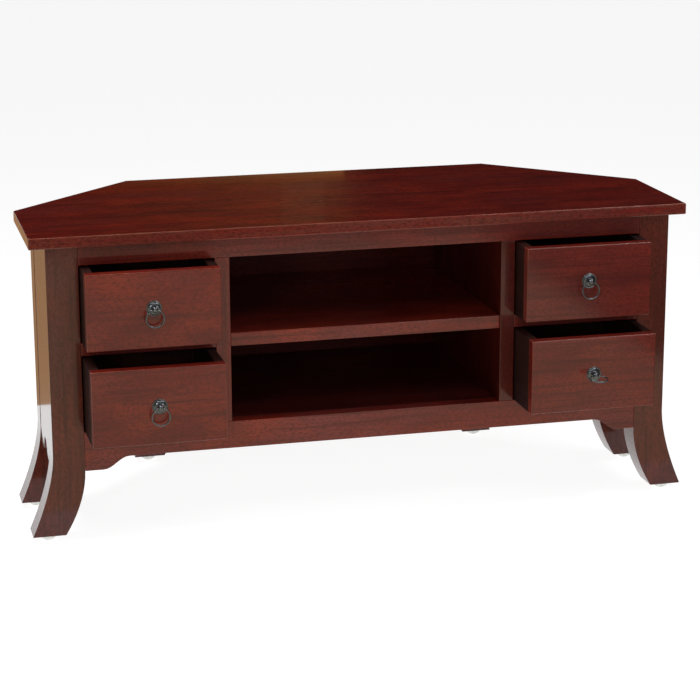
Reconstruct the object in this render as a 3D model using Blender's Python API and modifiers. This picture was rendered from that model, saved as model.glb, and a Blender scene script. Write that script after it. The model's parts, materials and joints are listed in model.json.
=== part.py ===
"""Corner media cabinet: six-sided top, six sabre legs, an open two-level bay and four inset drawers.

Units are metres, +Z is up, +X is to the right of someone facing the front and +Y runs to the back.
Inside the cabinet depths are measured from the front edge of the top; one empty carries that datum
and sets the origin at floor level in the middle of the whole object.
The drawers stand partly open and one pull ring is lifted, which is the rest position of the model.
"""

import math

import bmesh
import bpy
from mathutils import Matrix, Vector

# Running gap between neighbouring pieces
GAP = 0.0003

# How meshes are finished
WELD = 0.00001
FLAT_ANGLE = math.radians(0.5)
SHARP_ANGLE = math.radians(35)
EASING_ANGLE = math.radians(40)
MARKER_SIZE = 0.03

# Top
TOP_WIDTH = 1.100
TOP_DEPTH = 0.450
TOP_SIDE = 0.230
TOP_THICKNESS = 0.0187
HEIGHT = 0.5085
TOP_EASING = 0.0018

# Body
BODY_FRONT = 0.011
BODY_HALF = 0.5235
FRAME_DEPTH = 0.024
RAIL_TOP = 0.1835
OPENING_HEIGHT = 0.1272
DIVIDER_HEIGHT = 0.0210
BOTTOM_RAIL_LOW = 0.1380
EASING = 0.0005
SHOW_EASING = 0.0011

# Legs
GLIDE_HEIGHT = 0.0112
LEG_WIDTH = 0.0515
LEG_DEPTH = 0.048
SIDE_LEG_FRONT = 0.189
BACK_LEG_FRONT = 0.392
BACK_LEG_INNER = 0.2475
FLARE_OUTER = 0.0370
FLARE_OUTER_RISE = 0.1323
FLARE_OUTER_POWER = 1.6
FLARE_INNER = 0.0345
FLARE_INNER_RISE = 0.1068
FLARE_INNER_POWER = 1.9
FLARE_STEPS = 9

# Scrolled lower edges
BRACKET_LOW = GLIDE_HEIGHT + FLARE_INNER_RISE
BRACKET_FLAT = 0.030
OGEE_LENGTH = 0.042
OGEE_STEPS = 8
SIDE_BRACKET_FLAT = 0.034
SIDE_ARCH_RISE = 0.026
SIDE_OGEE_LENGTH = 0.022

# Panels
SIDE_THICKNESS = 0.015
SIDE_RECESS = 0.0005
DIAGONAL_THICKNESS = 0.015
DIAGONAL_OVERHANG = 0.031
BACK_THICKNESS = 0.012
BACK_FRONT_FACE = 0.414
BACK_PANEL_LOW = 0.1635
BAY_HALF = 0.229
PARTITION_THICKNESS = 0.024
SHELF_THICKNESS = 0.022
SHELF_RECESS = 0.002
BOTTOM_PANEL_THICKNESS = 0.016
KICKER_WIDTH = 0.022
KICKER_LENGTH = 0.250

# Drawers
DRAWER_WIDTH = 0.215
DRAWER_DEPTH = 0.222
FRONT_HEIGHT = 0.1240
FRONT_THICKNESS = 0.0185
FRONT_LIFT = 0.0012
DRAWER_WALL = 0.015
SIDE_DROP = 0.0007
SIDE_TOP_DROP = 0.0006
BOTTOM_THICKNESS = 0.004
GROOVE_LOW = 0.008
GROOVE_DEPTH = 0.005
GROOVE_OVERRUN = 0.010
DRAWER_OPEN = {"upper_left": 0.063, "lower_left": 0.096, "upper_right": 0.059, "lower_right": 0.092}
HANDLE_ABOVE_CENTRE = {"upper": 0.0028, "lower": -0.0002}

# Ring pulls
ROSETTE_RADIUS = 0.0126
ROSETTE_DOME = 0.0046
ROSETTE_RIM = 0.0012
ROSETTE_DOME_RADIUS = 0.0106
ROSETTE_LIP_RADIUS = 0.0119
ROSETTE_LIP_EDGE = 0.0006
DOME_STEPS = 4
SHANK_RADIUS = 0.0020
SHANK_HOLE = 0.0024
BALL_RADIUS = 0.0052
BALL_REACH = 0.010
SHANK_END = 0.0235
EYE_DROP = 0.0003
EYE_RADIUS = 0.0027
RING_RADIUS = 0.0143
RING_WIRE = 0.0015
BALL_STEPS = 9
ROSETTE_STEPS = 24
STUD_STEPS = 16
HOLE_SEGMENTS = 16
RING_SEGMENTS = 28
WIRE_SEGMENTS = 8
RING_LIFT = {"upper_left": 0.0, "lower_left": 0.0, "upper_right": 0.0, "lower_right": 84.0}

# Glides
GLIDE_RADIUS = 0.013
GLIDE_BAND_LOW = 0.0102
GLIDE_FLAT = 0.0040
GLIDE_FORWARD = 0.003
GLIDE_CURVE_STEPS = 5
GLIDE_STEPS = 20

# Sizes that follow
SLAB_LOW = HEIGHT - TOP_THICKNESS
POST_TOP = SLAB_LOW - GAP
LEG_INNER = BODY_HALF - LEG_WIDTH
FRAME_BACK = BODY_FRONT + FRAME_DEPTH
DIVIDER_LOW = RAIL_TOP + OPENING_HEIGHT
UPPER_OPENING_LOW = DIVIDER_LOW + DIVIDER_HEIGHT
TOP_RAIL_LOW = UPPER_OPENING_LOW + OPENING_HEIGHT
PARTITION_OUTER = BAY_HALF + PARTITION_THICKNESS
DRAWER_CENTRE_X = (PARTITION_OUTER + LEG_INNER) / 2
DIAGONAL_OUTER_SUM = TOP_WIDTH / 2 + TOP_SIDE - DIAGONAL_OVERHANG * math.sqrt(2)
DIAGONAL_INNER_SUM = DIAGONAL_OUTER_SUM - DIAGONAL_THICKNESS * math.sqrt(2)
FRONT_BOTTOM = {"upper": UPPER_OPENING_LOW + FRONT_LIFT, "lower": RAIL_TOP + FRONT_LIFT}
FOOT_MIDDLE = (FLARE_INNER + LEG_WIDTH + FLARE_OUTER) / 2

# The lifted ring reaches furthest forward, so it sets the middle of the object's depth
LIFTED = math.radians(RING_LIFT["lower_right"])
FRONT_REACH = (DRAWER_OPEN["lower_right"] - BODY_FRONT + BALL_REACH
               + 2 * RING_RADIUS * math.sin(LIFTED) + RING_WIRE)
CENTRE_Y = (TOP_DEPTH - FRONT_REACH) / 2


def clear_scene():
    for old in list(bpy.data.objects):
        bpy.data.objects.remove(old, do_unlink=True)


def new_collection(name):
    collection = bpy.data.collections.new(name)
    bpy.context.scene.collection.children.link(collection)
    return collection


def principled(name, color, roughness, metallic=0.0):
    material = bpy.data.materials.new(name)
    material.use_nodes = True
    shader = material.node_tree.nodes["Principled BSDF"]
    shader.inputs["Base Color"].default_value = (*color, 1.0)
    shader.inputs["Roughness"].default_value = roughness
    shader.inputs["Metallic"].default_value = metallic
    return material


clear_scene()
PARTS = new_collection("corner_media_cabinet")
CUTTERS = new_collection("cutters")

WOOD_TOP = principled("mahogany_top", (0.115, 0.022, 0.014), 0.32)
WOOD_FRAME = principled("mahogany_frame", (0.085, 0.022, 0.016), 0.38)
WOOD_FRONT = principled("mahogany_drawer_front", (0.135, 0.030, 0.019), 0.36)
WOOD_BOX = principled("mahogany_drawer_box", (0.070, 0.018, 0.013), 0.50)
WOOD_INSIDE = principled("mahogany_inside", (0.075, 0.018, 0.012), 0.50)
METAL = principled("antique_pewter", (0.110, 0.115, 0.115), 0.32, 1.0)
PLASTIC = principled("glide_plastic", (0.82, 0.82, 0.80), 0.35)


def empty(name, location, parent=None):
    marker = bpy.data.objects.new(name, None)
    marker.empty_display_size = MARKER_SIZE
    marker.location = location
    marker.parent = parent
    PARTS.objects.link(marker)
    return marker


def add_object(name, mesh, material, parent, location=(0, 0, 0), rotation=(0, 0, 0)):
    piece = bpy.data.objects.new(name, mesh)
    piece.location = location
    piece.rotation_euler = rotation
    piece.parent = parent
    if material:
        mesh.materials.clear()
        mesh.materials.append(material)
    PARTS.objects.link(piece)
    return piece


def ease(piece, width, segments=2):
    """Round the sharp arrises of a wooden piece."""
    bevel = piece.modifiers.new("easing", "BEVEL")
    bevel.width = width
    bevel.segments = segments
    bevel.limit_method = "ANGLE"
    bevel.angle_limit = EASING_ANGLE


def box_matrix(low, high):
    low = Vector(low)
    high = Vector(high)
    size = high - low
    return Matrix.Translation((low + high) / 2) @ Matrix.Diagonal((*size, 1.0))


def box_mesh(name, boxes):
    """One mesh of separate boxes, each given by its low and high corner."""
    shape = bmesh.new()
    for low, high in boxes:
        bmesh.ops.create_cube(shape, size=1.0, matrix=box_matrix(low, high))
    mesh = bpy.data.meshes.new(name)
    shape.to_mesh(mesh)
    shape.free()
    return mesh


def board(name, low, high, material, parent, easing=EASING, segments=2):
    """A straight board between two corners, placed by its middle."""
    middle = (Vector(low) + Vector(high)) / 2
    half = (Vector(high) - Vector(low)) / 2
    piece = add_object(name, box_mesh(name, [(-half, half)]), material, parent, middle)
    ease(piece, easing, segments)
    return piece


def flat_mesh(name, outline, thickness):
    """A flat outline in X and Y with its thickness along Z, as a welded mesh."""
    curve = bpy.data.curves.new(name, "CURVE")
    curve.dimensions = "2D"
    curve.fill_mode = "BOTH"
    curve.extrude = thickness / 2
    spline = curve.splines.new("POLY")
    spline.points.add(len(outline) - 1)
    for point, (x, y) in zip(spline.points, outline):
        point.co = (x, y, 0.0, 1.0)
    spline.use_cyclic_u = True
    sketch = bpy.data.objects.new(name + "_sketch", curve)
    CUTTERS.objects.link(sketch)
    evaluated = sketch.evaluated_get(bpy.context.evaluated_depsgraph_get())
    mesh = bpy.data.meshes.new_from_object(evaluated)
    mesh.name = name
    bpy.data.objects.remove(sketch, do_unlink=True)
    bpy.data.curves.remove(curve)
    shape = bmesh.new()
    shape.from_mesh(mesh)
    bmesh.ops.remove_doubles(shape, verts=shape.verts, dist=WELD)
    bmesh.ops.dissolve_limit(shape, angle_limit=FLAT_ANGLE, verts=shape.verts, edges=shape.edges)
    bmesh.ops.recalc_face_normals(shape, faces=shape.faces)
    shape.to_mesh(mesh)
    shape.free()
    return mesh


def turned_mesh(name, profile, steps):
    """A profile in X and Z, run down its outer side, turned about Z."""
    mesh = bpy.data.meshes.new(name)
    points = [(radius, 0.0, height) for radius, height in profile]
    edges = [(index, index + 1) for index in range(len(points) - 1)]
    if profile[0][0] > 0.0:
        edges.append((len(points) - 1, 0))
    mesh.from_pydata(points, edges, [])
    sketch = bpy.data.objects.new(name + "_sketch", mesh)
    CUTTERS.objects.link(sketch)
    screw = sketch.modifiers.new("turn", "SCREW")
    screw.steps = steps
    screw.render_steps = steps
    screw.merge_threshold = WELD
    screw.use_merge_vertices = True
    evaluated = sketch.evaluated_get(bpy.context.evaluated_depsgraph_get())
    turned = bpy.data.meshes.new_from_object(evaluated)
    turned.name = name
    bpy.data.objects.remove(sketch, do_unlink=True)
    bpy.data.meshes.remove(mesh)
    turned.shade_smooth()
    turned.set_sharp_from_angle(angle=SHARP_ANGLE)
    return turned


def add_cutter(name, mesh, parent, location=(0, 0, 0), rotation=(0, 0, 0)):
    cutter = bpy.data.objects.new(name, mesh)
    cutter.location = location
    cutter.rotation_euler = rotation
    cutter.parent = parent
    cutter.hide_render = True
    cutter.display_type = "WIRE"
    CUTTERS.objects.link(cutter)
    return cutter


def rod_mesh(name, radius, length):
    """A rod along Z, centred on its origin."""
    shape = bmesh.new()
    bmesh.ops.create_cone(shape, cap_ends=True, segments=HOLE_SEGMENTS, radius1=radius, radius2=radius,
                          depth=length)
    mesh = bpy.data.meshes.new(name)
    shape.to_mesh(mesh)
    shape.free()
    return mesh


def cut(piece, cutter):
    boolean = piece.modifiers.new("cut", "BOOLEAN")
    boolean.operation = "DIFFERENCE"
    boolean.solver = "EXACT"
    boolean.object = cutter


def ogee(start, end, steps):
    """An S-shaped run between two points, level at both ends."""
    points = []
    for index in range(steps + 1):
        along = index / steps
        rise = (1 - math.cos(math.pi * along)) / 2
        points.append((start[0] + (end[0] - start[0]) * along, start[1] + (end[1] - start[1]) * rise))
    return points


def leg_outline():
    """One right-hand leg seen from the front, with x counted from its straight inner face."""
    points = []
    for index in range(FLARE_STEPS + 1):
        height = FLARE_INNER_RISE * (1 - index / FLARE_STEPS)
        flare = FLARE_INNER * (1 - height / FLARE_INNER_RISE) ** FLARE_INNER_POWER
        points.append((flare, GLIDE_HEIGHT + height))
    for index in range(FLARE_STEPS + 1):
        height = FLARE_OUTER_RISE * index / FLARE_STEPS
        flare = FLARE_OUTER * (1 - height / FLARE_OUTER_RISE) ** FLARE_OUTER_POWER
        points.append((LEG_WIDTH + flare, GLIDE_HEIGHT + height))
    points.append((LEG_WIDTH, POST_TOP))
    points.append((0.0, POST_TOP))
    return points


# Outlines drawn in X and Z, or in Y and Z, are stood up by these rotations
STAND_XZ = (math.pi / 2, 0.0, 0.0)
STAND_YZ = (math.pi / 2, 0.0, math.pi / 2)
# Local +Z turned to point forward, out of a drawer front
POINT_FORWARD = (math.pi / 2, 0.0, 0.0)
LIE_ALONG_X = (0.0, math.pi / 2, 0.0)
SIDES = {"left": -1, "right": 1}

LEG_PLACES = {
    "front": (LEG_INNER, BODY_FRONT),
    "side": (LEG_INNER, SIDE_LEG_FRONT),
    "back": (BACK_LEG_INNER, BACK_LEG_FRONT),
}


def make_top(datum):
    half = TOP_WIDTH / 2
    back_half = half - (TOP_DEPTH - TOP_SIDE)
    outline = [(-half, 0.0), (half, 0.0), (half, TOP_SIDE), (back_half, TOP_DEPTH),
               (-back_half, TOP_DEPTH), (-half, TOP_SIDE)]
    mesh = flat_mesh("top_panel", outline, TOP_THICKNESS)
    top = add_object("top_panel", mesh, WOOD_TOP, datum, (0, 0, HEIGHT - TOP_THICKNESS / 2))
    ease(top, TOP_EASING)


def make_legs(datum):
    for side, sign in SIDES.items():
        outline = [(sign * x, z) for x, z in leg_outline()]
        mesh = flat_mesh("leg_" + side, outline, LEG_DEPTH)
        for place, (inner, front) in LEG_PLACES.items():
            location = (sign * inner, front + LEG_DEPTH / 2, 0)
            leg = add_object(f"{place}_leg_{side}", mesh, WOOD_FRAME, datum, location, STAND_XZ)
            ease(leg, EASING)


def make_glides(datum):
    top = GLIDE_HEIGHT - GAP
    profile = [(0.0, top), (GLIDE_RADIUS, top)]
    for index in range(GLIDE_CURVE_STEPS + 1):
        turn = math.pi / 2 * index / GLIDE_CURVE_STEPS
        profile.append((GLIDE_FLAT + (GLIDE_RADIUS - GLIDE_FLAT) * math.cos(turn),
                        GLIDE_BAND_LOW * (1 - math.sin(turn))))
    profile.append((0.0, 0.0))
    mesh = turned_mesh("floor_glide", profile, GLIDE_STEPS)
    for side, sign in SIDES.items():
        for place, (inner, front) in LEG_PLACES.items():
            location = (sign * (inner + FOOT_MIDDLE), front + LEG_DEPTH / 2 - GLIDE_FORWARD, 0)
            add_object(f"{place}_glide_{side}", mesh, PLASTIC, datum, location)


def make_front_frame(datum):
    span = LEG_INNER - GAP
    board("top_rail", (-span, BODY_FRONT, TOP_RAIL_LOW), (span, FRAME_BACK, POST_TOP), WOOD_FRAME, datum)

    flat_end = span - BRACKET_FLAT
    half = [(span, BRACKET_LOW)]
    half += ogee((flat_end, BRACKET_LOW), (flat_end - OGEE_LENGTH, BOTTOM_RAIL_LOW), OGEE_STEPS)
    outline = half + [(-x, z) for x, z in reversed(half)]
    outline += [(-span, RAIL_TOP), (span, RAIL_TOP)]
    mesh = flat_mesh("bottom_rail", outline, FRAME_DEPTH)
    location = (0, BODY_FRONT + FRAME_DEPTH / 2, 0)
    ease(add_object("bottom_rail", mesh, WOOD_FRAME, datum, location, STAND_XZ), EASING)


def make_side_panels(datum):
    front = BODY_FRONT + LEG_DEPTH + GAP
    back = SIDE_LEG_FRONT - GAP
    outline = [(front, BRACKET_LOW)]
    outline += ogee((front + SIDE_BRACKET_FLAT, BRACKET_LOW),
                    (front + SIDE_BRACKET_FLAT + SIDE_OGEE_LENGTH, BRACKET_LOW + SIDE_ARCH_RISE), OGEE_STEPS)
    outline += ogee((back - SIDE_BRACKET_FLAT - SIDE_OGEE_LENGTH, BRACKET_LOW + SIDE_ARCH_RISE),
                    (back - SIDE_BRACKET_FLAT, BRACKET_LOW), OGEE_STEPS)
    outline += [(back, BRACKET_LOW), (back, POST_TOP), (front, POST_TOP)]
    mesh = flat_mesh("side_panel", outline, SIDE_THICKNESS)
    for side, sign in SIDES.items():
        middle = sign * (BODY_HALF - SIDE_RECESS - SIDE_THICKNESS / 2)
        ease(add_object(f"side_panel_{side}", mesh, WOOD_FRAME, datum, (middle, 0, 0), STAND_YZ), EASING)


def make_rear_panels(datum):
    side_y = SIDE_LEG_FRONT + LEG_DEPTH + GAP
    back_x = BACK_LEG_INNER + LEG_WIDTH + GAP
    corners = [(DIAGONAL_OUTER_SUM - side_y, side_y), (back_x, DIAGONAL_OUTER_SUM - back_x),
               (back_x, DIAGONAL_INNER_SUM - back_x), (DIAGONAL_INNER_SUM - side_y, side_y)]
    height = POST_TOP - BACK_PANEL_LOW
    for side, sign in SIDES.items():
        mesh = flat_mesh(f"diagonal_panel_{side}", [(sign * x, y) for x, y in corners], height)
        location = (0, 0, BACK_PANEL_LOW + height / 2)
        ease(add_object(f"diagonal_panel_{side}", mesh, WOOD_FRAME, datum, location), EASING, 1)
    edge = BACK_LEG_INNER - GAP
    board("back_panel", (-edge, BACK_FRONT_FACE, BACK_PANEL_LOW),
          (edge, BACK_FRONT_FACE + BACK_THICKNESS, POST_TOP), WOOD_INSIDE, datum, EASING, 1)


def board_outline(inner, front):
    """Right-hand half of a board that fills the body, from an inner edge out, notched around the legs."""
    leg_face = LEG_INNER - GAP
    wall = BODY_HALF - SIDE_RECESS - SIDE_THICKNESS - GAP
    front_leg_back = BODY_FRONT + LEG_DEPTH + GAP
    side_leg_front = SIDE_LEG_FRONT - GAP
    side_leg_back = SIDE_LEG_FRONT + LEG_DEPTH + GAP
    diagonal = DIAGONAL_INNER_SUM - 2 * GAP
    back = BACK_LEG_FRONT - GAP
    return [(inner, front), (leg_face, front), (leg_face, front_leg_back), (wall, front_leg_back),
            (wall, side_leg_front), (leg_face, side_leg_front), (leg_face, side_leg_back),
            (diagonal - side_leg_back, side_leg_back), (diagonal - back, back)]


def make_bottom_panel(datum):
    """One board under the drawers and the bay, notched around all six legs."""
    half = board_outline(0.0, FRAME_BACK + GAP)
    half += [(BACK_LEG_INNER - GAP, BACK_LEG_FRONT - GAP), (BACK_LEG_INNER - GAP, BACK_FRONT_FACE - GAP)]
    outer = half[1:]
    outline = outer + [(-x, y) for x, y in reversed(outer)]
    mesh = flat_mesh("bottom_panel", outline, BOTTOM_PANEL_THICKNESS)
    add_object("bottom_panel", mesh, WOOD_INSIDE, datum, (0, 0, RAIL_TOP - BOTTOM_PANEL_THICKNESS / 2))


def make_bay(datum):
    """Two partitions, notched over the top rail and rebated at the back legs, and the shelf between."""
    back = BACK_FRONT_FACE - GAP
    low = RAIL_TOP + GAP
    notch = TOP_RAIL_LOW - GAP
    outline = [(BODY_FRONT, low), (back, low), (back, POST_TOP), (FRAME_BACK + GAP, POST_TOP),
               (FRAME_BACK + GAP, notch), (BODY_FRONT, notch)]
    mesh = flat_mesh("partition", outline, PARTITION_THICKNESS)
    rebate_size = (PARTITION_THICKNESS, LEG_DEPTH, 2 * HEIGHT)
    rebate_mesh = box_mesh("partition_rebate", [(-Vector(rebate_size) / 2, Vector(rebate_size) / 2)])
    for side, sign in SIDES.items():
        middle = BAY_HALF + PARTITION_THICKNESS / 2
        partition = add_object(f"partition_{side}", mesh, WOOD_FRAME, datum, (sign * middle, 0, 0), STAND_YZ)
        ease(partition, EASING)
        rebate_x = sign * (BACK_LEG_INNER - GAP + PARTITION_THICKNESS / 2)
        rebate_y = BACK_LEG_FRONT - GAP + LEG_DEPTH / 2
        cut(partition, add_cutter(f"rebate_{side}", rebate_mesh, datum, (rebate_x, rebate_y, HEIGHT / 2)))
    edge = BAY_HALF - GAP
    shelf_low = DIVIDER_LOW + (DIVIDER_HEIGHT - SHELF_THICKNESS) / 2
    board("bay_shelf", (-edge, BODY_FRONT + SHELF_RECESS, shelf_low),
          (edge, back, shelf_low + SHELF_THICKNESS), WOOD_FRAME, datum, SHOW_EASING)


def make_drawer_supports(datum):
    """The boards between upper and lower drawers, and a kicker over each upper drawer."""
    for side, sign in SIDES.items():
        half = board_outline(PARTITION_OUTER + GAP, BODY_FRONT)
        half.append((PARTITION_OUTER + GAP, BACK_LEG_FRONT - GAP))
        mesh = flat_mesh(f"drawer_divider_{side}", [(sign * x, y) for x, y in half], DIVIDER_HEIGHT)
        location = (0, 0, DIVIDER_LOW + DIVIDER_HEIGHT / 2)
        ease(add_object(f"drawer_divider_{side}", mesh, WOOD_FRAME, datum, location), EASING)
        middle = sign * DRAWER_CENTRE_X
        board(f"drawer_kicker_{side}", (middle - KICKER_WIDTH / 2, FRAME_BACK + GAP, TOP_RAIL_LOW),
              (middle + KICKER_WIDTH / 2, FRAME_BACK + GAP + KICKER_LENGTH, POST_TOP),
              WOOD_INSIDE, datum, EASING, 1)


def make_drawer(level, side, datum):
    """One drawer box; its own frame has the front face at y = 0 and the front's lower edge at z = 0."""
    key = f"{level}_{side}"
    front_y = BODY_FRONT - DRAWER_OPEN[key]
    slide = empty(f"{key}_drawer_slide", (SIDES[side] * DRAWER_CENTRE_X, front_y, FRONT_BOTTOM[level]), datum)
    name = f"drawer_{key}"
    half = DRAWER_WIDTH / 2
    inside = half - DRAWER_WALL
    groove_high = GROOVE_LOW + BOTTOM_THICKNESS + 2 * GAP
    groove_reach = inside + GROOVE_DEPTH
    front = board(name + "_front", (-half, 0, 0), (half, FRONT_THICKNESS, FRONT_HEIGHT), WOOD_FRONT, slide,
                  SHOW_EASING)
    groove_low = (-groove_reach, FRONT_THICKNESS - GROOVE_DEPTH, GROOVE_LOW)
    groove_end = (groove_reach, DRAWER_DEPTH + GROOVE_OVERRUN, groove_high)
    groove = box_mesh(name + "_groove", [(groove_low, groove_end)])
    groove_cutter = add_cutter(name + "_groove", groove, slide)
    cut(front, groove_cutter)
    for hand, sign in SIDES.items():
        low, high = sorted((sign * inside, sign * half))
        wall = board(f"{name}_side_{hand}", (low, FRONT_THICKNESS + GAP, -SIDE_DROP),
                     (high, DRAWER_DEPTH, FRONT_HEIGHT - SIDE_TOP_DROP), WOOD_BOX, slide)
        cut(wall, groove_cutter)
    board(name + "_back", (-inside + GAP, DRAWER_DEPTH - DRAWER_WALL, groove_high),
          (inside - GAP, DRAWER_DEPTH, FRONT_HEIGHT - SIDE_TOP_DROP), WOOD_BOX, slide, EASING, 1)
    reach = groove_reach - GAP
    bottom_low = (-reach, FRONT_THICKNESS - GROOVE_DEPTH + GAP, GROOVE_LOW + GAP)
    bottom = box_mesh(name + "_bottom", [(bottom_low, (reach, DRAWER_DEPTH, groove_high - GAP))])
    add_object(name + "_bottom", bottom, WOOD_BOX, slide)
    return slide, front


def rosette_profile():
    """A flat rim around a dome, with the hole for the stud."""
    points = []
    for index in range(DOME_STEPS + 1):
        turn = math.pi / 2 * index / DOME_STEPS
        points.append((SHANK_HOLE + (ROSETTE_DOME_RADIUS - SHANK_HOLE) * math.sin(turn),
                       ROSETTE_RIM + (ROSETTE_DOME - ROSETTE_RIM) * math.cos(turn)))
    points += [(ROSETTE_LIP_RADIUS, ROSETTE_RIM), (ROSETTE_RADIUS, ROSETTE_LIP_EDGE),
               (ROSETTE_RADIUS, GAP), (SHANK_HOLE, GAP)]
    return points


def stud_profile():
    """A ball on a straight shank, from the ball's tip to the shank's end."""
    points = []
    neck = math.pi - math.asin(SHANK_RADIUS / BALL_RADIUS)
    for index in range(BALL_STEPS + 1):
        turn = neck * index / BALL_STEPS
        points.append((BALL_RADIUS * math.sin(turn), BALL_REACH + BALL_RADIUS * math.cos(turn)))
    points += [(SHANK_RADIUS, -SHANK_END), (0.0, -SHANK_END)]
    return points


def make_handle(level, side, slide, front):
    """Rosette, eye stud and swinging ring of one pull."""
    key = f"{level}_{side}"
    name = f"handle_{key}"
    centre_z = FRONT_HEIGHT / 2 + HANDLE_ABOVE_CENTRE[level]
    centre = Vector((0, 0, centre_z))
    pivot = centre + Vector((0, -BALL_REACH, -EYE_DROP))

    rosette = turned_mesh(name + "_rosette", rosette_profile(), ROSETTE_STEPS)
    add_object(name + "_rosette", rosette, METAL, slide, centre, POINT_FORWARD)

    stud_mesh = turned_mesh(name + "_stud", stud_profile(), STUD_STEPS)
    stud = add_object(name + "_stud", stud_mesh, METAL, slide, centre, POINT_FORWARD)
    eye = rod_mesh(name + "_eye", EYE_RADIUS, 4 * BALL_RADIUS)
    cut(stud, add_cutter(name + "_eye", eye, slide, pivot, LIE_ALONG_X))

    hole = rod_mesh(name + "_hole", SHANK_HOLE, 4 * FRONT_THICKNESS)
    cut(front, add_cutter(name + "_hole", hole, slide, centre, POINT_FORWARD))

    hinge = empty(f"{key}_ring_hinge", pivot, slide)
    bpy.ops.mesh.primitive_torus_add(major_radius=RING_RADIUS, minor_radius=RING_WIRE,
                                     major_segments=RING_SEGMENTS, minor_segments=WIRE_SEGMENTS)
    ring = bpy.context.object
    ring.name = name + "_ring"
    for collection in list(ring.users_collection):
        collection.objects.unlink(ring)
    PARTS.objects.link(ring)
    ring.data.transform(Matrix.Rotation(math.pi / 2, 4, "X") @ Matrix.Translation((0, -RING_RADIUS, 0)))
    ring.data.materials.append(METAL)
    ring.data.shade_smooth()
    ring.location = (0, 0, 0)
    ring.parent = hinge
    hinge.rotation_euler = (-math.radians(RING_LIFT[key]), 0, 0)


def build():
    datum = empty("front_edge_datum", (0, -CENTRE_Y, 0))
    make_top(datum)
    make_legs(datum)
    make_glides(datum)
    make_front_frame(datum)
    make_side_panels(datum)
    make_rear_panels(datum)
    make_bottom_panel(datum)
    make_bay(datum)
    make_drawer_supports(datum)
    for level in ("upper", "lower"):
        for side in SIDES:
            slide, front = make_drawer(level, side, datum)
            make_handle(level, side, slide, front)


build()
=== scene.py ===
"""Looks of the corner media cabinet: satin-lacquered mahogany, pewter ring pulls, pale studio.

Units are metres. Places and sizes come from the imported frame, whose +Z is up and whose front faces -Y.
"""

import json
import math

import bmesh
import bpy
from mathutils import Matrix, Vector


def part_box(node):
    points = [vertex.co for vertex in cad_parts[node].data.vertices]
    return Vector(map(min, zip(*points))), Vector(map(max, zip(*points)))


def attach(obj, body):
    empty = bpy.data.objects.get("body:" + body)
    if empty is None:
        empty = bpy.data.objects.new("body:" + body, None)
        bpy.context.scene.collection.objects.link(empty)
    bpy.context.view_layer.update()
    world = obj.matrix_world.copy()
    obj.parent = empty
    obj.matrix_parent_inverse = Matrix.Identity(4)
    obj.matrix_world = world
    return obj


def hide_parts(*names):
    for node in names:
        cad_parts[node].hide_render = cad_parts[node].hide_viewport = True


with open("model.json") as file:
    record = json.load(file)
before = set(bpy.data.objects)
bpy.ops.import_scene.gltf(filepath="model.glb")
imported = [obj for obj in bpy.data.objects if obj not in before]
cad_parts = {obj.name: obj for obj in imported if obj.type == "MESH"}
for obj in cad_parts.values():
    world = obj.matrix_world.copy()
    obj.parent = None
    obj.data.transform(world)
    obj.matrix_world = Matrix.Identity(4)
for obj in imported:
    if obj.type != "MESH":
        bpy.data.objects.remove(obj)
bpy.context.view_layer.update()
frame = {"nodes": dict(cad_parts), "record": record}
NODES = frame["nodes"]
BODY_OF = {node: body for body, nodes in frame["record"]["behaviour"]["bodies"].items() for node in nodes}
DRAWERS = [f"{level}_{side}" for level in ("upper", "lower") for side in ("left", "right")]


# ---------------------------------------------------------------- node helpers

class Tree:
    """A small writer for one material's nodes."""

    def __init__(self, name):
        self.material = bpy.data.materials.new(name)
        self.material.use_nodes = True
        self.nodes = self.material.node_tree.nodes
        self.links = self.material.node_tree.links
        self.shader = self.nodes["Principled BSDF"]

    def put(self, socket, value):
        if isinstance(value, bpy.types.NodeSocket):
            self.links.new(value, socket)
        else:
            socket.default_value = value

    def add(self, kind, output=0, settings=None, **inputs):
        node = self.nodes.new(kind)
        for key, value in (settings or {}).items():
            setattr(node, key, value)
        for key, value in inputs.items():
            self.put(node.inputs[key.replace("_", " ")], value)
        return node.outputs[output]

    def math(self, operation, *values, clamp=False):
        node = self.nodes.new("ShaderNodeMath")
        node.operation = operation
        node.use_clamp = clamp
        for socket, value in zip(node.inputs, values):
            self.put(socket, value)
        return node.outputs[0]

    def mix(self, factor, first, second, blend="MIX"):
        node = self.nodes.new("ShaderNodeMix")
        node.data_type = "RGBA"
        node.blend_type = blend
        self.put(node.inputs["Factor"], factor)
        for key, value in (("A", first), ("B", second)):
            socket = next(s for s in node.inputs if s.name == key and s.type == "RGBA")
            self.put(socket, value if isinstance(value, bpy.types.NodeSocket) else (*value, 1.0))
        return next(s for s in node.outputs if s.type == "RGBA")

    def span(self, value, low, high, to_low=0.0, to_high=1.0):
        """value's stretch from low to high, clamped, spread over to_low to to_high."""
        return self.add("ShaderNodeMapRange", Value=value, From_Min=low, From_Max=high,
                        To_Min=to_low, To_Max=to_high)

    def noise(self, vector, detail=2.0, roughness=0.5, distortion=0.0):
        return self.add("ShaderNodeTexNoise", Vector=vector, Scale=1.0, Detail=detail, Roughness=roughness,
                        Distortion=distortion)


# ---------------------------------------------------------------- materials

# Patterns are shifted by these amounts for each unit of a material's seed
SEED_SHIFT = (3.7, 5.3, 7.1)

# Pattern cycles per metre, along the grain and across it
FIGURE = (2.4, 17.0)
CLOUD = (5.0, 9.0)
MOTTLE = (11.0, 19.0)
STREAKS = (5.0, 130.0)
FIBRES = (28.0, 620.0)
PORES = (110.0, 1500.0)
SPECKLE = (170.0, 330.0)

# Reach of the edge wearing and its painted highlight, and of the rounding that light sees on an arris
WOOD_WEAR_AND_HIGHLIGHT_REACH = 0.0016
WOOD_ROUNDING = 0.0010
METAL_WEAR_REACH = 0.0006
BEVEL_SAMPLES = 6

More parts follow.
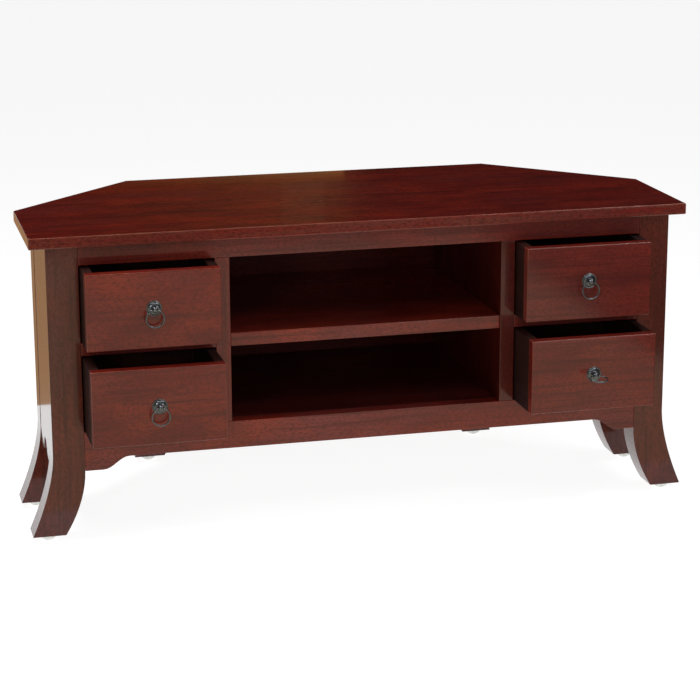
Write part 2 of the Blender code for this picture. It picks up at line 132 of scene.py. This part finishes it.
# Cosines between flat and rounded normals where an edge starts to show and where it is full
EDGE_START = 0.99
EDGE_FULL = 0.80

LACQUER_IOR = 1.35
WOOD_SPECULAR = 0.10


def stretched(tree, coordinates, grain, cycles, seed):
    """Object coordinates scaled by one number along the grain's axis and by another on the other two."""
    along, across = cycles
    scale = [across, across, across]
    scale["XYZ".index(grain)] = along
    shift = [seed * step for step in SEED_SHIFT]
    return tree.add("ShaderNodeMapping", Vector=coordinates, Location=shift, Scale=scale)


def edge_mask(tree, radius):
    """1 on the arrises, 0 a little way in."""
    rounded = tree.add("ShaderNodeBevel", settings={"samples": BEVEL_SAMPLES}, Radius=radius)
    true_normal = tree.add("ShaderNodeNewGeometry", output="Normal")
    alignment = tree.add("ShaderNodeVectorMath", output="Value", settings={"operation": "DOT_PRODUCT"})
    node = alignment.node
    tree.links.new(rounded, node.inputs[0])
    tree.links.new(true_normal, node.inputs[1])
    return tree.span(alignment, EDGE_START, EDGE_FULL)


def wood(name, grain, deep, mid, warm, seed=0.0, roughness=0.45, coat=1.0, gloss=0.10,
         wear_and_highlight=0.15, rubbed_and_highlight=0.0, edge_sheen=None):
    """Stained mahogany under lacquer, with its grain along one axis. Its paler edges are partly wearing of
    the lacquer and partly a painted highlight. An optional pale tan on the arrises, strongest where they face
    up, is a painted highlight mixed with patchy rubbing. An optional paler tone on upright edges is a painted
    sheen.
    """
    tree = Tree(name)
    where = tree.add("ShaderNodeTexCoord", output="Object")
    figure = tree.noise(stretched(tree, where, grain, FIGURE, seed), 3.0, 0.55, 0.7)
    streaks = tree.noise(stretched(tree, where, grain, STREAKS, seed + 1), 4.0, 0.6)
    fibres = tree.noise(stretched(tree, where, grain, FIBRES, seed + 2), 2.0, 0.5)
    pores = tree.noise(stretched(tree, where, grain, PORES, seed + 3), 1.0, 0.5)
    mottle = tree.noise(stretched(tree, where, grain, MOTTLE, seed + 4), 2.0, 0.5)

    dark_line = tuple(channel * 0.55 for channel in deep)
    cool = (mid[0] * 0.80, mid[1] * 1.7, mid[2] * 3.2)
    colour = tree.mix(tree.span(figure, 0.34, 0.66), deep, mid)
    colour = tree.mix(tree.span(mottle, 0.40, 0.72, 0.0, 0.90), colour, warm)
    cloud = tree.noise(stretched(tree, where, grain, CLOUD, seed + 6), 3.0, 0.55)
    colour = tree.mix(tree.span(cloud, 0.48, 0.66, 0.0, 0.70), colour, cool)
    colour = tree.mix(tree.span(streaks, 0.50, 0.68, 0.0, 0.70), colour, dark_line)
    colour = tree.mix(tree.span(fibres, 0.40, 0.70, 0.0, 0.30), colour, dark_line)
    pore_mask = tree.span(pores, 0.62, 0.74)
    colour = tree.mix(tree.math("MULTIPLY", pore_mask, 0.45), colour, dark_line)
    # A paler, less red tone on upright faces: a painted sheen for the brighter reflection on the top's edges
    if edge_sheen:
        facing = tree.add("ShaderNodeTexCoord", output="Normal")
        upward = tree.add("ShaderNodeSeparateXYZ", output="Z", Vector=facing)
        sheen_share = tree.span(tree.math("ABSOLUTE", upward), 0.75, 0.45)
        sheen_tone = tree.mix(tree.span(streaks, 0.40, 0.70), edge_sheen, mid)
        colour = tree.mix(sheen_share, colour, sheen_tone)
    speckle = tree.noise(stretched(tree, where, grain, SPECKLE, seed + 5), 3.0, 0.65)
    colour = tree.mix(tree.span(speckle, 0.46, 0.62, 0.0, 0.62), colour, dark_line)
    # Paler edges all round: partly wearing of the lacquer, partly a painted highlight on every arris
    edge = edge_mask(tree, WOOD_WEAR_AND_HIGHLIGHT_REACH)
    worn_and_highlight = tuple(channel * 1.7 for channel in warm)
    colour = tree.mix(tree.math("MULTIPLY", edge, wear_and_highlight), colour, worn_and_highlight)
    # Pale tan on the arrises, strongest where they face up: a painted highlight from light above, mixed with
    # patchy rubbing
    if rubbed_and_highlight:
        rounded = tree.add("ShaderNodeBevel", settings={"samples": BEVEL_SAMPLES}, Radius=WOOD_WEAR_AND_HIGHLIGHT_REACH)
        raised = tree.add("ShaderNodeSeparateXYZ", output="Z", Vector=rounded)
        lit_from_above = tree.span(raised, 0.00, 0.60, 0.40, 1.0)
        patchy = tree.span(mottle, 0.30, 0.60, 0.45, 1.0)
        arris = tree.math("MULTIPLY", edge, lit_from_above)
        share = tree.math("MULTIPLY", arris, tree.math("MULTIPLY", patchy, rubbed_and_highlight))
        colour = tree.mix(share, colour, RUBBED_AND_HIGHLIGHT_WOOD)
    tree.put(tree.shader.inputs["Base Color"], colour)

    uneven = tree.math("ADD", tree.math("MULTIPLY", fibres, 0.10), tree.math("MULTIPLY", figure, 0.08))
    tree.put(tree.shader.inputs["Roughness"], tree.math("ADD", uneven, roughness - 0.09))
    relief = tree.math("SUBTRACT", tree.math("MULTIPLY", fibres, 0.5), pore_mask)
    smooth = tree.add("ShaderNodeBevel", settings={"samples": BEVEL_SAMPLES}, Radius=WOOD_ROUNDING)
    bumped = tree.add("ShaderNodeBump", Strength=0.35, Distance=0.00012, Height=relief, Normal=smooth)
    tree.put(tree.shader.inputs["Normal"], bumped)
    tree.put(tree.shader.inputs["Coat Normal"], smooth)
    tree.put(tree.shader.inputs["Coat Weight"], coat)
    tree.put(tree.shader.inputs["Coat Roughness"], gloss)
    tree.put(tree.shader.inputs["Coat IOR"], LACQUER_IOR)
    tree.put(tree.shader.inputs["Specular IOR Level"], WOOD_SPECULAR)
    return tree.material


PEWTER_TONES = ((0.064, 0.070, 0.080), (0.084, 0.092, 0.104))
PEWTER_WORN = (0.17, 0.18, 0.19)
PLASTIC_TONES = ((0.62, 0.63, 0.58), (0.80, 0.81, 0.77))


def pewter(name):
    """Darkened cast metal, polished where hands rub it, under a thin lacquer."""
    tree = Tree(name)
    where = tree.add("ShaderNodeTexCoord", output="Object")
    cloud = tree.add("ShaderNodeTexNoise", Vector=where, Scale=190.0, Detail=3.0, Roughness=0.55)
    grit = tree.add("ShaderNodeTexNoise", Vector=where, Scale=900.0, Detail=2.0)
    colour = tree.mix(tree.span(cloud, 0.35, 0.68), *PEWTER_TONES)
    edge = edge_mask(tree, METAL_WEAR_REACH)
    colour = tree.mix(tree.math("MULTIPLY", edge, 0.30), colour, PEWTER_WORN)
    tree.put(tree.shader.inputs["Base Color"], colour)
    tree.put(tree.shader.inputs["Metallic"], 1.0)
    tree.put(tree.shader.inputs["Roughness"], tree.span(cloud, 0.3, 0.7, 0.36, 0.44))
    tree.put(tree.shader.inputs["Coat Weight"], 0.8)
    tree.put(tree.shader.inputs["Coat Roughness"], 0.10)
    bumped = tree.add("ShaderNodeBump", Strength=0.10, Distance=0.00004, Height=grit)
    tree.put(tree.shader.inputs["Normal"], bumped)
    return tree.material


def plastic(name):
    """Pale moulded plastic, a little uneven in tone and gloss."""
    tree = Tree(name)
    where = tree.add("ShaderNodeTexCoord", output="Object")
    cloud = tree.add("ShaderNodeTexNoise", Vector=where, Scale=180.0, Detail=3.0)
    colour = tree.mix(tree.span(cloud, 0.3, 0.7), *PLASTIC_TONES)
    tree.put(tree.shader.inputs["Base Color"], colour)
    tree.put(tree.shader.inputs["Roughness"], tree.span(cloud, 0.3, 0.7, 0.25, 0.42))
    bumped = tree.add("ShaderNodeBump", Strength=0.15, Distance=0.0001, Height=cloud)
    tree.put(tree.shader.inputs["Normal"], bumped)
    return tree.material


# Linear colours: the stain's dark, middle and warm tones. The drawer box and bay inside tones are also
# darkened as painted shade.
TOP_TONES = dict(deep=(0.060, 0.0028, 0.0014), mid=(0.127, 0.0052, 0.0022), warm=(0.168, 0.0110, 0.0030))
LEG_TONES = dict(deep=(0.057, 0.0070, 0.0028), mid=(0.095, 0.0115, 0.0042), warm=(0.118, 0.0155, 0.0046))
RAIL_TONES = dict(deep=(0.066, 0.0053, 0.0028), mid=(0.110, 0.0088, 0.0044), warm=(0.136, 0.0120, 0.0048))
FRONT_TONES = dict(deep=(0.086, 0.0053, 0.0028), mid=(0.139, 0.0092, 0.0040), warm=(0.167, 0.0145, 0.0044))
# Near black drawer boxes: painted shade inside the open drawers
BOX_SHADED_TONES = dict(deep=(0.012, 0.0030, 0.0022), mid=(0.018, 0.0044, 0.0030), warm=(0.024, 0.0060, 0.0034))
# Darker inside boards: painted shade in the bay's recess
INSIDE_SHADED_TONES = dict(deep=(0.037, 0.0034, 0.0026), mid=(0.062, 0.0056, 0.0036), warm=(0.074, 0.0080, 0.0040))
# Paler tone of the top's upright edges: a painted sheen
TOP_EDGE_SHEEN = (0.104, 0.0190, 0.0105)
# Pale tan on the arrises: partly wearing, partly a painted highlight
RUBBED_AND_HIGHLIGHT_WOOD = (0.46, 0.27, 0.17)

# How light one board is against its group's tone. All share one stain: 1.0 throughout is a neutral cabinet.
# The factors away from 1.0 are partly each board's own tone and partly painted light and shade. The right
# partition is darkened as a painted shadow of the open right drawers, and the right drawer fronts are
# darkened as painted shade. The left partition, bay shelf and bottom rail are lightened as painted light.
FRONT_TONE_AND_PAINTED_LIGHT = {"upper_left": 1.0, "lower_left": 0.98, "upper_right": 0.84, "lower_right": 0.90}
BOARD_TONE_AND_PAINTED_LIGHT = {"top_rail": 1.05, "bottom_rail": 1.42, "bay_shelf": 1.35, "partition_left": 1.35,
               "partition_right": 0.66}


def lighter(tones, factor):
    """The same tones, each multiplied by factor."""
    return {key: tuple(channel * factor for channel in tone) for key, tone in tones.items()}


# A board's tone factor carries painted light and shade as well as its own tone
def board(node):
    return lighter(RAIL_TONES, BOARD_TONE_AND_PAINTED_LIGHT[node])


def paint(node, material):
    mesh = NODES[node].data
    mesh.materials.clear()
    mesh.materials.append(material)


def paint_wood():
    top = wood("mahogany_top", "X", seed=0.3, roughness=0.28, gloss=0.045, rubbed_and_highlight=1.0, edge_sheen=TOP_EDGE_SHEEN,
               **TOP_TONES)
    leg = wood("mahogany_leg", "Z", seed=1.1, **LEG_TONES)
    panel = wood("mahogany_side_panel", "Z", seed=1.9, **LEG_TONES)
    divider = wood("mahogany_divider", "X", seed=2.7, **RAIL_TONES)
    # The bay inside and the drawer boxes carry painted shade in their tones
    inside = wood("mahogany_inside", "X", seed=3.9, roughness=0.50, coat=0.25, wear_and_highlight=0.15, **INSIDE_SHADED_TONES)
    box_long = wood("mahogany_box_sides", "Y", seed=4.6, roughness=0.60, coat=0.05, **BOX_SHADED_TONES)
    box_wide = wood("mahogany_box_back", "X", seed=5.2, roughness=0.60, coat=0.05, **BOX_SHADED_TONES)
    single = {
        "top_panel": top,
        "top_rail": wood("mahogany_top_rail", "X", seed=7.4, **board("top_rail")),
        "bottom_rail": wood("mahogany_bottom_rail", "X", seed=8.3, **board("bottom_rail")),
        "bay_shelf": wood("mahogany_shelf", "X", seed=9.2, rubbed_and_highlight=0.35, **board("bay_shelf")),
        "partition_left": wood("mahogany_partition_left", "Z", seed=10.6, **board("partition_left")),
        "partition_right": wood("mahogany_partition_right", "Z", seed=11.8, **board("partition_right")),
    }
    # Each front's tone factor carries painted light and shade as well as its own tone
    for index, key in enumerate(DRAWERS):
        front = wood(f"mahogany_front_{key}", "X", seed=12.0 + 1.7 * index, roughness=0.38, rubbed_and_highlight=0.7,
                     **lighter(FRONT_TONES, FRONT_TONE_AND_PAINTED_LIGHT[key]))
        single[f"drawer_{key}_front"] = front
    for node in NODES:
        if node in single:
            paint(node, single[node])
        elif "_leg_" in node:
            paint(node, leg)
        elif node.startswith(("side_panel_", "diagonal_panel_")):
            paint(node, panel)
        elif node.startswith(("back_panel", "bottom_panel", "drawer_kicker")):
            paint(node, inside)
        elif node.startswith("drawer_divider"):
            paint(node, divider)
        elif node.startswith("drawer_") and "_side_" in node:
            paint(node, box_long)
        elif node.startswith("drawer_"):
            paint(node, box_wide)


PEWTER = pewter("antique_pewter")
PLASTIC = plastic("glide_plastic")


# ---------------------------------------------------------------- ring pulls and glides

# Sizes of one pull, as in the CAD part; the stud's own axis is local +Z, pointing forward once placed
RIM_RADIUS = 0.0126
RIM_HEIGHT = 0.0012
DOME_RADIUS = 0.0106
DOME_HEIGHT = 0.0046
STUD_HOLE = 0.0024
BALL_RADIUS = 0.0052
BALL_REACH = 0.010
SHANK_RADIUS = 0.0020
SHANK_END = 0.0235
EYE_RADIUS = 0.0027
EYE_DROP = 0.0003
RING_RADIUS = 0.0143
RING_WIRE = 0.00134
RING_LIFT = {"upper_left": 0.0, "upper_right": 0.0, "lower_left": 0.0, "lower_right": 84.0}
SHOWN_GAP = 0.0003
TURN_STEPS = 72
SHARP_ANGLE = math.radians(32)
DOME_STEPS = 12
BEAD_STEPS = 5
BEAD_SHARE = 0.55
BEAD_START = -80
BEAD_OFFSET = 0.0007
HOLLOW_WIDTH = 0.0005
EASED_EDGE = 0.0002
BALL_STEPS = 28
EYE_SEGMENTS = 48
GLIDE_RADIUS = 0.013
GLIDE_FLAT = 0.0040
GLIDE_BAND_LOW = 0.0102
GLIDE_TOP = 0.0109
GLIDE_CURVE_STEPS = 20
FORWARD = Matrix.Rotation(math.radians(90), 4, "X")


def new_piece(name, mesh, material, place, body, stands_for):
    piece = bpy.data.objects.new(name, mesh)
    mesh.materials.append(material)
    mesh.shade_smooth()
    mesh.set_sharp_from_angle(angle=SHARP_ANGLE)
    piece.matrix_world = place
    bpy.context.scene.collection.objects.link(piece)
    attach(piece, body)
    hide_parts(stands_for)


def turned(name, profile, steps=TURN_STEPS):
    """A closed or axis-to-axis profile of (radius, height) pairs turned about Z."""
    shape = bmesh.new()
    rows = []
    for radius, height in profile:
        if radius == 0.0:
            rows.append([shape.verts.new((0.0, 0.0, height))])
            continue
        row = []
        for index in range(steps):
            turn = 2 * math.pi * index / steps
            row.append(shape.verts.new((radius * math.cos(turn), radius * math.sin(turn), height)))
        rows.append(row)
    pairs = list(zip(rows, rows[1:]))
    if len(rows[0]) > 1 and len(rows[-1]) > 1:
        pairs.append((rows[-1], rows[0]))
    for first, second in pairs:
        for index in range(steps):
            after = (index + 1) % steps
            corners = [first[index % len(first)], second[index % len(second)],
                       second[after % len(second)], first[after % len(first)]]
            shape.faces.new(list(dict.fromkeys(corners)))
    bmesh.ops.recalc_face_normals(shape, faces=shape.faces)
    mesh = bpy.data.meshes.new(name)
    shape.to_mesh(mesh)
    shape.free()
    return mesh


def arc(centre, radius, start, end, steps):
    """Points on a circle in radius and height, angles in degrees from straight up, turning outward."""
    points = []
    for index in range(steps + 1):
        turn = math.radians(start + (end - start) * index / steps)
        points.append((centre[0] + radius * math.sin(turn), centre[1] + radius * math.cos(turn)))
    return points


def rosette_mesh(name):
    """A beaded rim, a narrow hollow and a dome pierced for the stud."""
    foot = RIM_HEIGHT * BEAD_SHARE
    hollow = RIM_HEIGHT - foot
    dome = []
    for index in range(DOME_STEPS + 1):
        turn = math.pi / 2 * index / DOME_STEPS
        dome.append((STUD_HOLE + (DOME_RADIUS - STUD_HOLE) * math.sin(turn),
                     foot + (DOME_HEIGHT - foot) * math.cos(turn)))
    bead = (RIM_RADIUS + DOME_RADIUS) / 2 + BEAD_OFFSET
    rim = [(DOME_RADIUS + HOLLOW_WIDTH, hollow)]
    rim += arc((bead, hollow), foot, BEAD_START, 0, BEAD_STEPS)
    rim += [(RIM_RADIUS - BEAD_OFFSET, RIM_HEIGHT * 0.95), (RIM_RADIUS - EASED_EDGE, RIM_HEIGHT * 0.75)]
    rim += [(RIM_RADIUS, RIM_HEIGHT * 0.5), (RIM_RADIUS, SHOWN_GAP), (STUD_HOLE, SHOWN_GAP)]
    return turned(name, dome + rim)


def stud_mesh(name):
    """A ball on a shank, with the eye for the ring drilled across just below its middle."""
    neck = math.pi - math.asin(SHANK_RADIUS / BALL_RADIUS)
    profile = [(0.0, BALL_REACH + BALL_RADIUS)]
    for index in range(1, BALL_STEPS + 1):
        turn = neck * index / BALL_STEPS
        profile.append((BALL_RADIUS * math.sin(turn), BALL_REACH + BALL_RADIUS * math.cos(turn)))
    profile += [(SHANK_RADIUS, -SHANK_END), (0.0, -SHANK_END)]
    solid = bpy.data.objects.new(name + "_solid", turned(name + "_solid", profile))
    bpy.context.scene.collection.objects.link(solid)
    shape = bmesh.new()
    bmesh.ops.create_cone(shape, cap_ends=True, segments=EYE_SEGMENTS, radius1=EYE_RADIUS, radius2=EYE_RADIUS,
                          depth=4 * BALL_RADIUS)
    bmesh.ops.rotate(shape, verts=shape.verts, matrix=Matrix.Rotation(math.radians(90), 3, "Y"))
    bmesh.ops.translate(shape, verts=shape.verts, vec=(0.0, -EYE_DROP, BALL_REACH))
    drill_mesh = bpy.data.meshes.new(name + "_drill")
    shape.to_mesh(drill_mesh)
    shape.free()
    drill = bpy.data.objects.new(name + "_drill", drill_mesh)
    bpy.context.scene.collection.objects.link(drill)
    cut = solid.modifiers.new("eye", "BOOLEAN")
    cut.operation = "DIFFERENCE"
    cut.solver = "EXACT"
    cut.object = drill
    mesh = bpy.data.meshes.new_from_object(solid.evaluated_get(bpy.context.evaluated_depsgraph_get()))
    mesh.name = name
    for helper in (solid, drill):
        data = helper.data
        bpy.data.objects.remove(helper)
        bpy.data.meshes.remove(data)
    return mesh


def ring_mesh(name, around=120, wire=24):
    """A round wire bent to a ring that hangs below its own origin, in the plane of X and Z."""
    shape = bmesh.new()
    rows = []
    for index in range(around):
        turn = 2 * math.pi * index / around
        row = []
        for step in range(wire):
            roll = 2 * math.pi * step / wire
            reach = RING_RADIUS + RING_WIRE * math.cos(roll)
            row.append(shape.verts.new((reach * math.sin(turn), RING_WIRE * math.sin(roll),
                                        reach * math.cos(turn) - RING_RADIUS)))
        rows.append(row)
    for index in range(around):
        first = rows[index]
        second = rows[(index + 1) % around]
        for step in range(wire):
            after = (step + 1) % wire
            shape.faces.new((first[step], second[step], second[after], first[after]))
    bmesh.ops.recalc_face_normals(shape, faces=shape.faces)
    mesh = bpy.data.meshes.new(name)
    shape.to_mesh(mesh)
    shape.free()
    return mesh


def make_handles():
    hinges = {joint["child"]: joint for joint in frame["record"]["behaviour"]["joints"]}
    for key in DRAWERS:
        name = f"handle_{key}"
        pivot = Vector(hinges[f"ring_{key}"]["pos_m"])
        seat = Matrix.Translation(pivot + Vector((0.0, BALL_REACH, EYE_DROP))) @ FORWARD
        lift = Matrix.Rotation(-math.radians(RING_LIFT[key]), 4, "X")
        new_piece(f"rosette_{key}", rosette_mesh(f"rosette_{key}"), PEWTER, seat, BODY_OF[f"{name}_rosette"],
                  f"{name}_rosette")
        new_piece(f"stud_{key}", stud_mesh(f"stud_{key}"), PEWTER, seat, BODY_OF[f"{name}_stud"],
                  f"{name}_stud")
        new_piece(f"ring_{key}", ring_mesh(f"ring_{key}"), PEWTER, Matrix.Translation(pivot) @ lift,
                  BODY_OF[f"{name}_ring"], f"{name}_ring")


def make_glides():
    for node in list(NODES):
        if "_glide_" not in node:
            continue
        low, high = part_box(node)
        middle = (low + high) / 2
        profile = [(0.0, GLIDE_TOP), (GLIDE_RADIUS, GLIDE_TOP)]
        for index in range(GLIDE_CURVE_STEPS + 1):
            turn = math.pi / 2 * index / GLIDE_CURVE_STEPS
            profile.append((GLIDE_FLAT + (GLIDE_RADIUS - GLIDE_FLAT) * math.cos(turn),
                            GLIDE_BAND_LOW * (1 - math.sin(turn))))
        profile.append((0.0, 0.0))
        place = Matrix.Translation((middle.x, middle.y, 0.0))
        new_piece(f"{node}_dome", turned(f"{node}_dome", profile), PLASTIC, place, BODY_OF[node], node)


# ---------------------------------------------------------------- stage, light, camera

FLOOR_REACH = 30.0
PAPER_TONE = (0.25, 0.25, 0.25, 1.0)
PAPER_GLOW = 0.92
WORLD_FILL = (1, 0.98, 0.96, 1)
WORLD_FILL_STRENGTH = 0.01
CAMERA_PLACE = Vector((-0.87454, -3.53549, 1.22993))
CAMERA_AIM = Vector((0.01312, 0.01867, 0.24294))
CAMERA_ROLL = math.radians(-0.205)
CAMERA_LENS = 112.83
CAMERA_SENSOR = 36.0
CAMERA_NEAR = 0.1
CAMERA_FAR = 100.0

# Colours of glowing cards, seen only in reflections, that paint the lacquer's reflections of a tan floor, a
# dark room, pale paper near the front, a brown wall and a window edge
TAN_FLOOR_REFLECTION = (0.43, 0.24, 0.12)
DARK_ROOM_REFLECTION = (0.05, 0.03, 0.02)
WARM_PAPER_REFLECTION = (1.08, 0.98, 0.70)
BROWN_WALL_REFLECTION = (0.68, 0.34, 0.12)
WINDOW_EDGE_REFLECTION = (0.03, 0.025, 0.018)

def make_stage():
    mesh = bpy.data.meshes.new("studio_floor")
    shape = bmesh.new()
    bmesh.ops.create_grid(shape, x_segments=1, y_segments=1, size=FLOOR_REACH)
    shape.to_mesh(mesh)
    shape.free()
    floor = bpy.data.objects.new("studio_floor", mesh)
    bpy.context.scene.collection.objects.link(floor)
    tree = Tree("studio_paper")
    tree.put(tree.shader.inputs["Base Color"], PAPER_TONE)
    tree.put(tree.shader.inputs["Emission Color"], (1.0, 1.0, 1.0, 1.0))
    tree.put(tree.shader.inputs["Emission Strength"], PAPER_GLOW)
    tree.put(tree.shader.inputs["Roughness"], 0.9)
    tree.put(tree.shader.inputs["Specular IOR Level"], 0.0)
    mesh.materials.append(tree.material)


def card(name, low, high, colour, graded=False):
    """A flat stage card that only reflections see, from one corner to the other; graded ones fade out. It
    glows, though it is no lamp, to paint a reflection of surroundings that are not modelled.
    """
    mesh = bpy.data.meshes.new(name)
    shape = bmesh.new()
    middle = (Vector(low) + Vector(high)) / 2
    size = Vector(high) - Vector(low)
    bmesh.ops.create_cube(shape, size=1.0, matrix=Matrix.Translation(middle) @ Matrix.Diagonal((*size, 1.0)))
    shape.to_mesh(mesh)
    shape.free()
    piece = bpy.data.objects.new(name, mesh)
    bpy.context.scene.collection.objects.link(piece)
    tree = Tree(name)
    tree.put(tree.shader.inputs["Base Color"], (0.0, 0.0, 0.0, 1.0))
    tree.put(tree.shader.inputs["Specular IOR Level"], 0.0)
    tree.put(tree.shader.inputs["Emission Color"], (*colour, 1.0))
    tree.put(tree.shader.inputs["Emission Strength"], 1.0)
    # A graded card's painted reflection brightens along X and fades out at its top
    if graded:
        where = tree.add("ShaderNodeTexCoord", output="Generated")
        place = tree.add("ShaderNodeSeparateXYZ", Vector=where).node
        rise = tree.math("POWER", place.outputs["X"], 1.6)
        fade = tree.span(place.outputs["Z"], 1.0, 0.92)
        tree.put(tree.shader.inputs["Emission Strength"], tree.math("MULTIPLY", rise, fade))
    mesh.materials.append(tree.material)
    for ray in ("camera", "diffuse", "transmission", "volume_scatter", "shadow"):
        setattr(piece, f"visible_{ray}", False)


def area_light(name, place, aim, size, power, size_y=None, glossy=True):
    data = bpy.data.lights.new(name, "AREA")
    data.energy = power
    data.shape = "RECTANGLE" if size_y else "DISK"
    data.size = size
    if size_y:
        data.size_y = size_y
    lamp = bpy.data.objects.new(name, data)
    lamp.location = place
    lamp.rotation_euler = (Vector(aim) - Vector(place)).to_track_quat("-Z", "Y").to_euler()
    lamp.visible_camera = False
    lamp.visible_glossy = glossy
    bpy.context.scene.collection.objects.link(lamp)


def make_world():
    world = bpy.data.worlds.new("studio")
    world.use_nodes = True
    nodes = world.node_tree.nodes
    links = world.node_tree.links
    nodes.clear()
    output = nodes.new("ShaderNodeOutputWorld")
    path = nodes.new("ShaderNodeLightPath")
    seen = nodes.new("ShaderNodeBackground")
    seen.inputs["Color"].default_value = (1, 1, 1, 1)
    seen.inputs["Strength"].default_value = 1.0
    fill = nodes.new("ShaderNodeBackground")
    fill.inputs["Color"].default_value = WORLD_FILL
    fill.inputs["Strength"].default_value = WORLD_FILL_STRENGTH
    mix = nodes.new("ShaderNodeMixShader")
    links.new(path.outputs["Is Camera Ray"], mix.inputs[0])
    links.new(fill.outputs[0], mix.inputs[1])
    links.new(seen.outputs[0], mix.inputs[2])
    links.new(mix.outputs[0], output.inputs["Surface"])
    bpy.context.scene.world = world


def make_camera():
    data = bpy.data.cameras.new("camera")
    data.sensor_width = CAMERA_SENSOR
    data.lens = CAMERA_LENS
    camera = bpy.data.objects.new("camera", data)
    roll = Matrix.Rotation(CAMERA_ROLL, 4, "Z")
    facing = (CAMERA_AIM - CAMERA_PLACE).to_track_quat("-Z", "Y").to_matrix().to_4x4()
    camera.matrix_world = Matrix.Translation(CAMERA_PLACE) @ facing @ roll
    data.clip_start = CAMERA_NEAR
    data.clip_end = CAMERA_FAR
    bpy.context.scene.collection.objects.link(camera)
    bpy.context.scene.camera = camera


paint_wood()
make_handles()
make_glides()
make_stage()
# Glowing cards that paint reflections in the lacquer; the camera, shadows and bounced light don't see them
card("card_floor_behind", (-6.0, 0.64, 0.001), (6.0, 8.0, 0.002), TAN_FLOOR_REFLECTION)
card("card_floor_right", (0.85, -8.0, 0.001), (8.0, 0.55, 0.002), DARK_ROOM_REFLECTION)
card("card_floor_front", (-6.0, -8.0, 0.001), (0.85, -2.31, 0.002), DARK_ROOM_REFLECTION)
card("card_floor_near", (-6.0, -2.3, 0.001), (0.85, -0.30, 0.002), WARM_PAPER_REFLECTION)
card("card_behind", (-0.4, 3.2, 0.0), (0.79, 3.25, 1.09), BROWN_WALL_REFLECTION, graded=True)
card("card_window_edge", (0.60, 3.26, 0.9), (0.74, 3.27, 1.35), WINDOW_EDGE_REFLECTION)
make_world()
area_light("high_left", (-1.0, 0.0, 2.0), (0.0, 0.0, 0.4), 0.8, 31.0)
area_light("high_right", (1.0, -0.4, 2.0), (0.0, 0.0, 0.4), 0.8, 17.0)
area_light("high_front", (0.0, -1.6, 2.1), (0.0, 0.0, 0.3), 1.6, 13.0, size_y=0.8)
area_light("wide_front", (-0.3, -4.2, 1.5), (0.0, 0.0, 0.3), 1.5, 25.0, glossy=False)
area_light("side_left", (-1.3, -2.2, 0.9), (-0.1, 0.0, 0.3), 0.35, 8.0)
area_light("low_right", (1.3, -3.2, 0.4), (0.0, 0.0, 0.3), 1.0, 9.5, size_y=0.5)
make_camera()
bpy.context.scene.view_settings.view_transform = "Standard"
